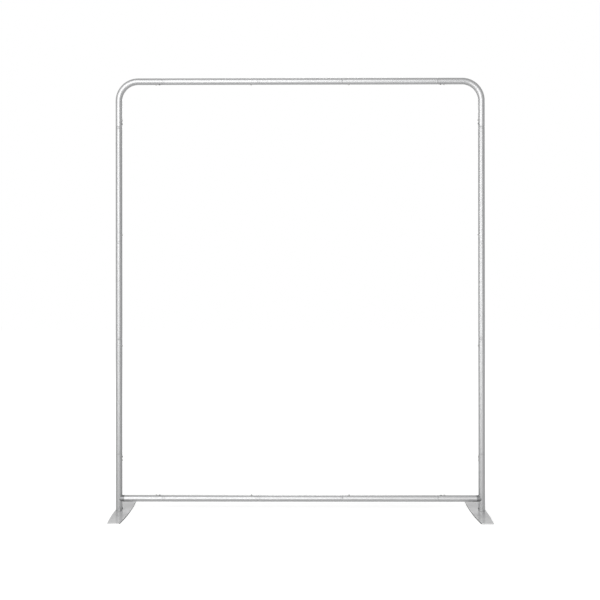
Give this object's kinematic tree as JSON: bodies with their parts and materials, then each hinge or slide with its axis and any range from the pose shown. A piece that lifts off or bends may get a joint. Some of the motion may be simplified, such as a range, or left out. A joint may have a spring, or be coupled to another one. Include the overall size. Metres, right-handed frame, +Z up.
{
  "type": "display wall frame",
  "caption": "Free-standing display wall frame of round tube, with bent top corners, sleeved push-button joints, a coped bottom bar and flat foot plates, to be dressed with a stretch cover.",
  "frame": {"origin": "on the floor, under the middle of the frame", "axes": "+X across the frame, +Y from its front to its back, +Z up"},
  "size_m": [1.841, 0.4, 2.15],
  "materials": {
    "tube": "satin anodised",
    "sleeve": "mill",
    "saddle": "satin moulded",
    "foot": "satin plated",
    "button": "nickel plated",
    "spring": "spring steel",
    "lock_screw": "black oxide",
    "fastener": "zinc plated"
  },
  "bodies": {
    "frame": {"top_rail_left": "tube", "top_rail_centre": "tube", "top_rail_right": "tube", "bottom_rail_left": "tube", "bottom_rail_centre": "tube", "bottom_rail_right": "tube", "upright_upper_left": "tube", "upright_upper_right": "tube", "upright_middle_left": "tube", "upright_middle_right": "tube", "upright_lower_left": "tube", "upright_lower_right": "tube", "base_post_left": "tube", "base_post_right": "tube", "bottom_stub_left": "tube", "bottom_stub_right": "tube", "top_corner_left": "tube", "top_corner_right": "tube", "saddle_left": "saddle", "saddle_right": "saddle", "foot_left": "foot", "foot_right": "foot", "top_sleeves": "sleeve", "bottom_sleeves": "sleeve", "left_sleeves": "sleeve", "right_sleeves": "sleeve", "button_spring_top_left_inner": "spring", "button_spring_top_left_outer": "spring", "button_spring_top_right_inner": "spring", "button_spring_top_right_outer": "spring", "button_spring_bottom_left_inner": "spring", "button_spring_bottom_left_outer": "spring", "button_spring_bottom_right_inner": "spring", "button_spring_bottom_right_outer": "spring", "button_spring_left_high": "spring", "button_spring_left_upper": "spring", "button_spring_left_lower": "spring", "button_spring_left_low": "spring", "button_spring_right_high": "spring", "button_spring_right_upper": "spring", "button_spring_right_lower": "spring", "button_spring_right_low": "spring", "lock_screws": "lock_screw", "saddle_fasteners": "fastener"},
    "button_top_left_inner": {"snap_button_top_left_inner": "button"},
    "button_top_left_outer": {"snap_button_top_left_outer": "button"},
    "button_top_right_inner": {"snap_button_top_right_inner": "button"},
    "button_top_right_outer": {"snap_button_top_right_outer": "button"},
    "button_bottom_left_inner": {"snap_button_bottom_left_inner": "button"},
    "button_bottom_left_outer": {"snap_button_bottom_left_outer": "button"},
    "button_bottom_right_inner": {"snap_button_bottom_right_inner": "button"},
    "button_bottom_right_outer": {"snap_button_bottom_right_outer": "button"},
    "button_left_high": {"snap_button_left_high": "button"},
    "button_left_upper": {"snap_button_left_upper": "button"},
    "button_left_lower": {"snap_button_left_lower": "button"},
    "button_left_low": {"snap_button_left_low": "button"},
    "button_right_high": {"snap_button_right_high": "button"},
    "button_right_upper": {"snap_button_right_upper": "button"},
    "button_right_lower": {"snap_button_right_lower": "button"},
    "button_right_low": {"snap_button_right_low": "button"}
  },
  "joints": [
    {"name": "press_top_left_inner", "type": "slide", "parent": "frame", "child": "button_top_left_inner", "axis": [0, 0, 1], "range_m": [0, 0.005], "stiffness_N_per_m": 2000, "springref_m": -0.004, "deforming": ["button_spring_top_left_inner"]},
    {"name": "press_top_left_outer", "type": "slide", "parent": "frame", "child": "button_top_left_outer", "axis": [0, 0, 1], "range_m": [0, 0.005], "stiffness_N_per_m": 2000, "springref_m": -0.004, "deforming": ["button_spring_top_left_outer"]},
    {"name": "press_top_right_inner", "type": "slide", "parent": "frame", "child": "button_top_right_inner", "axis": [0, 0, 1], "range_m": [0, 0.005], "stiffness_N_per_m": 2000, "springref_m": -0.004, "deforming": ["button_spring_top_right_inner"]},
    {"name": "press_top_right_outer", "type": "slide", "parent": "frame", "child": "button_top_right_outer", "axis": [0, 0, 1], "range_m": [0, 0.005], "stiffness_N_per_m": 2000, "springref_m": -0.004, "deforming": ["button_spring_top_right_outer"]},
    {"name": "press_bottom_left_inner", "type": "slide", "parent": "frame", "child": "button_bottom_left_inner", "axis": [0, 0, -1], "range_m": [0, 0.005], "stiffness_N_per_m": 2000, "springref_m": -0.004, "deforming": ["button_spring_bottom_left_inner"]},
    {"name": "press_bottom_left_outer", "type": "slide", "parent": "frame", "child": "button_bottom_left_outer", "axis": [0, 0, -1], "range_m": [0, 0.005], "stiffness_N_per_m": 2000, "springref_m": -0.004, "deforming": ["button_spring_bottom_left_outer"]},
    {"name": "press_bottom_right_inner", "type": "slide", "parent": "frame", "child": "button_bottom_right_inner", "axis": [0, 0, -1], "range_m": [0, 0.005], "stiffness_N_per_m": 2000, "springref_m": -0.004, "deforming": ["button_spring_bottom_right_inner"]},
    {"name": "press_bottom_right_outer", "type": "slide", "parent": "frame", "child": "button_bottom_right_outer", "axis": [0, 0, -1], "range_m": [0, 0.005], "stiffness_N_per_m": 2000, "springref_m": -0.004, "deforming": ["button_spring_bottom_right_outer"]},
    {"name": "press_left_high", "type": "slide", "parent": "frame", "child": "button_left_high", "axis": [-1, 0, 0], "range_m": [0, 0.005], "stiffness_N_per_m": 2000, "springref_m": -0.004, "deforming": ["button_spring_left_high"]},
    {"name": "press_left_upper", "type": "slide", "parent": "frame", "child": "button_left_upper", "axis": [-1, 0, 0], "range_m": [0, 0.005], "stiffness_N_per_m": 2000, "springref_m": -0.004, "deforming": ["button_spring_left_upper"]},
    {"name": "press_left_lower", "type": "slide", "parent": "frame", "child": "button_left_lower", "axis": [-1, 0, 0], "range_m": [0, 0.005], "stiffness_N_per_m": 2000, "springref_m": -0.004, "deforming": ["button_spring_left_lower"]},
    {"name": "press_left_low", "type": "slide", "parent": "frame", "child": "button_left_low", "axis": [-1, 0, 0], "range_m": [0, 0.005], "stiffness_N_per_m": 2000, "springref_m": -0.004, "deforming": ["button_spring_left_low"]},
    {"name": "press_right_high", "type": "slide", "parent": "frame", "child": "button_right_high", "axis": [1, 0, 0], "range_m": [0, 0.005], "stiffness_N_per_m": 2000, "springref_m": -0.004, "deforming": ["button_spring_right_high"]},
    {"name": "press_right_upper", "type": "slide", "parent": "frame", "child": "button_right_upper", "axis": [1, 0, 0], "range_m": [0, 0.005], "stiffness_N_per_m": 2000, "springref_m": -0.004, "deforming": ["button_spring_right_upper"]},
    {"name": "press_right_lower", "type": "slide", "parent": "frame", "child": "button_right_lower", "axis": [1, 0, 0], "range_m": [0, 0.005], "stiffness_N_per_m": 2000, "springref_m": -0.004, "deforming": ["button_spring_right_lower"]},
    {"name": "press_right_low", "type": "slide", "parent": "frame", "child": "button_right_low", "axis": [1, 0, 0], "range_m": [0, 0.005], "stiffness_N_per_m": 2000, "springref_m": -0.004, "deforming": ["button_spring_right_low"]}
  ]
}
